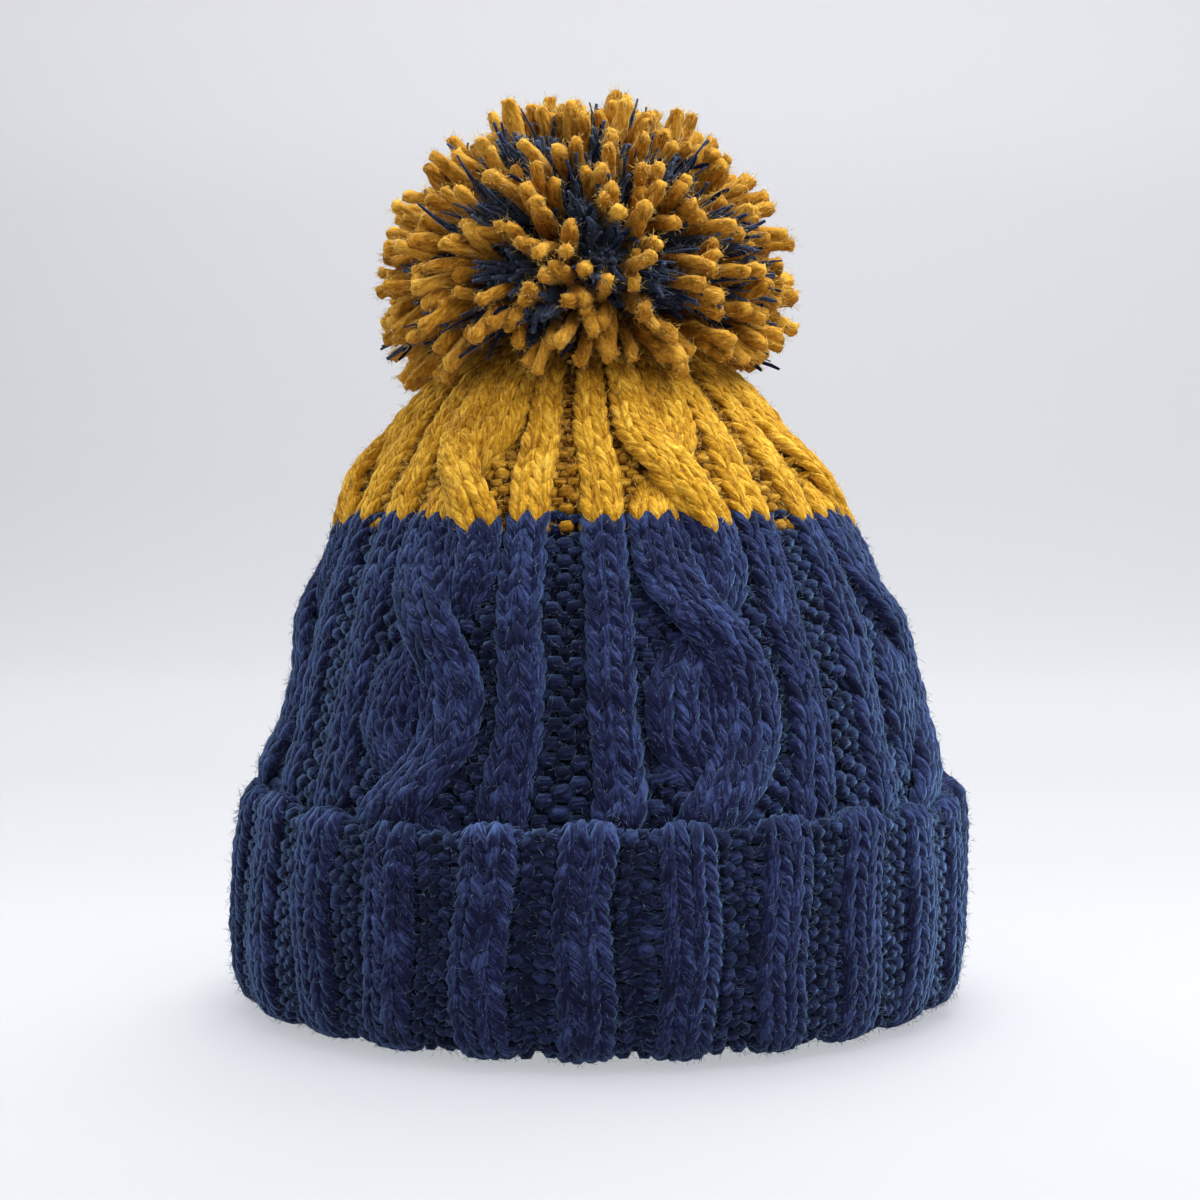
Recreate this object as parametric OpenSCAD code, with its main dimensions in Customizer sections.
// Chunky cable-knit bobble hat with a turned-up ribbed cuff and a two-colour yarn pompom.
// The origin is the centre of the head opening, on the plane the turned-up cuff rests on.
// +Z is up, towards the pompom. The wearer's face looks along -Y. Units are millimetres.
// Name endings: _r radius, _h height or length, _t thickness, _z level above the origin.

/* [Gauge] */
// Number of wales (stitch columns) around the hat
wales = 98; // [98:14:98]
// How far the knit columns stand proud of the purl ground
rib_height = 2.6; // [1:0.2:3]
// Thickness of the fabric, measured at a knit column
knit_t = 8; // [6.5:0.5:8]

/* [Head opening] */
// Radius of the relaxed head opening
opening_r = 86; // [78:1:86]
// Height of the straight band that grips the head
band_h = 64; // [62:1:68]

/* [Body and crown] */
// Outer radius of the body at the top of the cuff
body_r = 93.9; // [93.9:0.1:94]
// Height at which the crown starts to close
shoulder_z = 60; // [56:1:60]
// Height of the gathered top of the crown
crown_z = 188; // [176:1:196]
// Radius of the hole left by the gathered top row
gather_r = 6; // [6:0.5:7]
// Height of the row where navy yarn changes to mustard
colour_z = 136; // [110:1:150]
// How full the crown is: 1.5 is a pointed crown, 1.1 a round one
crown_shape = 1.27; // [1.2:0.01:1.4]

/* [Cuff] */
// Height of the turned-up cuff
cuff_h = 60; // [48:1:62]
// Outer radius of the cuff at its fullest
cuff_r = 102; // [101.5:0.5:104]
// Thickness of the fold under the rim
fold_t = 4; // [3:0.5:4]

/* [Pompom] */
// Radius over the cut yarn ends
pompom_r = 57; // [55.5:0.5:60]
// Radius of the packed part of the pile
pile_r = 51; // [49:1:51]
// Height of the pompom's centre
pompom_z = 196; // [194:1:198]
// Sideways offset of the pompom's centre
pompom_x = -4; // [-4:1:0]
// Number of yarn ends spread over a full ball; those low on the pompom are left out
ends = 210; // [150:15:210]
// Radius of a chunky mustard yarn end
mustard_end_r = 3.4; // [2.5:0.1:3.6]
// Radius of a thin navy yarn end
navy_end_r = 1.1; // [0.8:0.1:1.6]

/* [Ties] */
// Radius of the yarn that ties the pompom on
tie_r = 1.2; // [1:0.1:1.3]
// Height of the knot the pompom swings on
knot_z = 191; // [190.5:0.5:192]

/* [Hidden] */
$fn = 96;
NAVY = [0.07, 0.10, 0.24];
MUSTARD = [0.80, 0.57, 0.10];

wale_angle = 360 / wales;
seam_angle = 72.3;             // from +X
seam_gap = 2.4;                // between the two selvedges
seam_recess = 0.6;             // seam yarn below the purl ground
below_z = -1;                  // just under the hat, where cuts start
root_depth = 5;                // how deep a raised column reaches into the wall
cuff_gap = 0.3;                // between body and cuff
cuff_in = body_r + cuff_gap;   // inner face of the cuff
dome_h = crown_z - shoulder_z;
cord_gap = 0.15;               // beside a cord or tie

// Raised columns of one pattern repeat, a cable and two ribs: [first wale, last wale]
repeat_wales = 14;
repeat_columns = [[0.1, 5.9], [7, 9.1], [10.9, 13]];

// ---- Outline of body and crown ----
// Its angle runs from 0 at the shoulder to 90 at the gathered top.
function outline_r(angle) = gather_r + (body_r - gather_r) * cos(angle);
function outline_z(angle) = shoulder_z + dome_h * pow(sin(angle), crown_shape);
function angle_at(z) = asin(pow((z - shoulder_z) / dome_h, 1 / crown_shape));
function tangent(angle) = angle < 0.5 ? [0, 1]
    : [-(body_r - gather_r) * sin(angle),
       dome_h * crown_shape * pow(sin(angle), crown_shape - 1) * cos(angle)];
// Outline point moved out along its outward normal
function outline(angle, out) =
    let(along = tangent(angle), size = norm(along))
    [max(gather_r, outline_r(angle) + out * along.y / size),
     outline_z(angle) - out * along.x / size];
function outline_run(from, to, count, out) =
    [for (i = [0:count]) outline(from + (to - from) * i / count, out)];
function arc(centre, radii, angles) =
    [for (a = angles) centre + [radii.x * cos(a), radii.y * sin(a)]];

colour_angle = angle_at(colour_z);

// ---- Wall sections, radius across and height up ----
module body_section(out) {
    foot_z = fold_t + cuff_gap;
    polygon(concat(
        [[opening_r, foot_z], [body_r + out, foot_z]],
        outline_run(0, colour_angle, 12, out),
        outline_run(colour_angle, angle_at(band_h) + 3, 10, -knit_t),
        [[opening_r, band_h]]));
}
module crown_section(out, end = 90) {
    start = colour_angle + 0.05;
    polygon(concat(
        outline_run(start, end, 14, out),
        outline_run(end, start, 12, -knit_t)));
}
// One raised column of the body or crown; foot holds any points below the shoulder
module column_section(from, to, foot = []) {
    polygon(concat(
        foot,
        outline_run(from, to, 12, 0),
        outline_run(to, from, 10, -root_depth)));
}
// The fold under the rim and the wall with its rolled top edge
module cuff_section() {
    ground_r = cuff_r - rib_height;
    roll_r = cuff_in + 1.8;
    polygon(concat(
        [[opening_r + 0.6, fold_t * 0.55], [opening_r + 2.2, 0], [cuff_r - 8, 0]],
        arc([ground_r - 5, 5], [5, 5], [-75:15:0]),
        [[ground_r, 24], [ground_r, cuff_h - 8]],
        arc([roll_r, cuff_h - 5], [ground_r - roll_r, 5], [15:15:75]),
        [[cuff_in + 1.2, cuff_h - 0.4], [cuff_in, cuff_h - 2]],
        [[cuff_in, fold_t], [opening_r + 0.6, fold_t]]));
}
// One raised column of the cuff, rooted inside its wall
module cuff_column_section() {
    polygon(concat(
        [[cuff_in + 2, 4], [cuff_r - 6, 0.9], [cuff_r - 3.6, 1.2]],
        arc([cuff_r - 5, 5], [4.6, 4.6], [-45:15:-15]),
        [[cuff_r - 0.3, 9], [cuff_r, 24], [cuff_r, 36], [cuff_r - 0.6, cuff_h - 8]],
        arc([cuff_r - 5.6, cuff_h - 6], [5, 5], [20:20:60]),
        [[cuff_in + 2, cuff_h - 2.6]]));
}

// ---- Columns and seam ----
// Turns a section from one wale to another, counted from the seam
module column(first, last) {
    rotate([0, 0, seam_angle + first * wale_angle])
        rotate_extrude(angle = (last - first) * wale_angle) children();
}
module pattern_columns() {
    for (k = [0:wales / repeat_wales - 1], span = repeat_columns)
        column(repeat_wales * k + span[0], repeat_wales * k + span[1]) children();
}
// Cutter for the opening between the two selvedges
module selvedge_gap(bottom, top) {
    rotate([0, 0, seam_angle]) translate([gather_r + 2, -seam_gap / 2, bottom])
        cube([120, seam_gap, top - bottom]);
}
// Web of yarn that fills the gap, in the shape of a wall section
module seam(bottom, top) {
    width = seam_gap - 0.4;
    rotate([0, 0, seam_angle]) rotate([90, 0, 0]) translate([0, 0, -width / 2])
        linear_extrude(width) intersection() {
            children();
            translate([gather_r + 3, bottom]) square([130, top - bottom]);
        }
}

// ---- Body and crown ----
module body_knit() {
    foot_z = fold_t + 2;
    color(NAVY) difference() {
        union() {
            rotate_extrude() body_section(-rib_height);
            pattern_columns() column_section(0, colour_angle - 0.5,
                foot = [[body_r - root_depth, foot_z], [body_r, foot_z]]);
        }
        selvedge_gap(below_z, crown_z);
    }
}
module crown_knit() {
    color(MUSTARD) difference() {
        union() {
            rotate_extrude() crown_section(-rib_height);
            pattern_columns() column_section(colour_angle + 0.5, 80);
        }
        translate([0, 0, crown_z - 30]) cylinder(r = gather_r, h = 40);
        selvedge_gap(shoulder_z, crown_z + 1);
    }
}
module body_seam_yarn() {
    color(NAVY * 0.9) seam(below_z, crown_z) body_section(-rib_height - seam_recess);
}
module crown_seam_yarn() {
    color(MUSTARD * 0.9) seam(shoulder_z, crown_z)
        crown_section(-rib_height - seam_recess, end = 84);
}

// Cord ring in the gathered hole, with a tail and a knot hanging inside the crown
module gather_cord() {
    cord_r = 1.2;
    tail_h = 12;
    ring_r = gather_r - cord_gap - cord_r;
    ring_z = crown_z - 5;
    color(MUSTARD * 0.8) {
        translate([0, 0, ring_z]) rotate_extrude()
            translate([ring_r, 0]) circle(r = cord_r, $fn = 32);
        translate([0, ring_r, ring_z - tail_h]) cylinder(r = 1.1, h = tail_h);
        translate([0, ring_r + 2.6, ring_z - tail_h - 1]) sphere(r = 3.2);
    }
}

// ---- Care label ----
label_w = 24;
label_l = 32;
label_t = 0.9;
label_z = 92;
label_gap = 2.4;        // from the inner wall to the label
stitch_side = 6;        // from the label's centreline to a stitch
stitch_edge = 3;        // from the label's top edge to a stitch

// Frame by the inner wall at the seam: X runs up the wall, Z points into the hat
module label_frame() {
    angle = angle_at(label_z);
    place = outline(angle, -knit_t - label_gap);
    along = tangent(angle);
    rotate([0, 0, seam_angle]) translate([place.x, 0, place.y])
        rotate([0, -atan2(-along.x, along.y), 0]) rotate([0, -90, 0]) children();
}
module at_stitches() {
    for (side = [-1, 1])
        translate([label_l / 2 - stitch_edge, side * stitch_side, 0]) children();
}
// Blank tab with a hole for each stitch
module care_label() {
    color("whitesmoke") label_frame() linear_extrude(label_t) difference() {
        translate([-label_l / 2, -label_w / 2]) square([label_l, label_w]);
        at_stitches() circle(r = 0.6);
    }
}
// Each stitch is a thread through the label with a wider head on its inner face
module label_stitches() {
    color(NAVY) label_frame() at_stitches() {
        translate([0, 0, -1.2]) cylinder(r = 0.5, h = 2.7);
        translate([0, 0, label_t + 0.2]) cylinder(r = 1, h = 0.8);
    }
}

// ---- Cuff ----
// Two-by-two rib: a raised column on two of every four wales
module cuff_knit() {
    color(NAVY) difference() {
        union() {
            rotate_extrude() cuff_section();
            for (k = [0:ceil(wales / 4) - 1])
                column(4 * k + 0.04, 4 * k + 1.96) cuff_column_section();
        }
        selvedge_gap(below_z, cuff_h + 1);
    }
}
// Stops short of the fold's inner edge and of the cuff's top
module cuff_seam_yarn() {
    color(NAVY * 0.9) seam(below_z, cuff_h - 1.5) difference() {
        cuff_section();
        translate([opening_r - 1, below_z]) square([2.4, 10]);
    }
}

// ---- Pompom ties ----
// Two tails passed down through the gathered hole
module tie_tails() {
    bottom = crown_z - 17.2;
    top = knot_z - 4.2;
    color(MUSTARD) for (side = [-1, 1])
        translate([side * (tie_r + cord_gap), 0, bottom]) cylinder(r = tie_r, h = top - bottom);
}
// Knot below the crown, too large to pull through, with two short ends
module inner_knot() {
    color(MUSTARD * 0.9) translate([0, -1.6, crown_z - 21.6]) {
        sphere(r = 4.2);
        for (side = [-1, 1]) translate([side * 1.6, 0, -9]) cylinder(r = tie_r, h = 8);
    }
}
// Knot above the crown that the pompom swings on
module tie_knot() {
    color(MUSTARD) translate([0, 0, knot_z]) sphere(r = 3.6);
}
// Cord ring in the middle of the pompom, with its knot towards -Y
module pompom_binding() {
    color(MUSTARD * 0.8) translate([0, 0, pompom_z + 3]) {
        rotate_extrude() translate([5.4, 0]) circle(r = 1.5, $fn = 32);
        translate([0, -6.2, 0]) sphere(r = 2.6);
    }
}

// ---- Pompom ----
// Hollow under the pile that lets it lean over the crown, and the bore round the binding
module lean_room() {
    bore_top = pompom_z + 7;
    rotate_extrude() polygon([
        [0, 120], [90, 120], [90, knot_z - 30], [52, knot_z - 13.2],
        [40, knot_z - 6.2], [25, knot_z - 1.3], [11, knot_z],
        [10.6, bore_top], [0, bore_top]]);
}
module pompom_pile() {
    color(MUSTARD * 0.75) difference() {
        translate([pompom_x, 0, pompom_z]) sphere(r = pile_r);
        lean_room();
    }
}

golden_angle = 180 * (3 - sqrt(5));
lowest_end = -0.1;      // cosine of the tilt from +Z, below which no ends are placed
end_gap = 0.03;         // between the pile and a yarn end

// Yarn ends of one colour, on a golden spiral where every third end is navy
module yarn_ends(radius, navy) {
    for (i = [0:ends - 1]) {
        up = 1 - 2 * (i + 0.5) / ends;
        if ((i % 3 == 1) == navy && up > lowest_end)
            translate([pompom_x, 0, pompom_z]) rotate([0, acos(up), i * golden_angle])
                translate([0, 0, pile_r + end_gap]) cylinder(r = radius, h = pompom_r - pile_r);
    }
}
module mustard_yarn_ends() {
    color(MUSTARD) yarn_ends(mustard_end_r, navy = false);
}
module navy_yarn_ends() {
    color(NAVY) yarn_ends(navy_end_r, navy = true);
}

body_knit();
crown_knit();
body_seam_yarn();
crown_seam_yarn();
gather_cord();
care_label();
label_stitches();
cuff_knit();
cuff_seam_yarn();
tie_tails();
inner_knot();
tie_knot();
pompom_binding();
pompom_pile();
mustard_yarn_ends();
navy_yarn_ends();
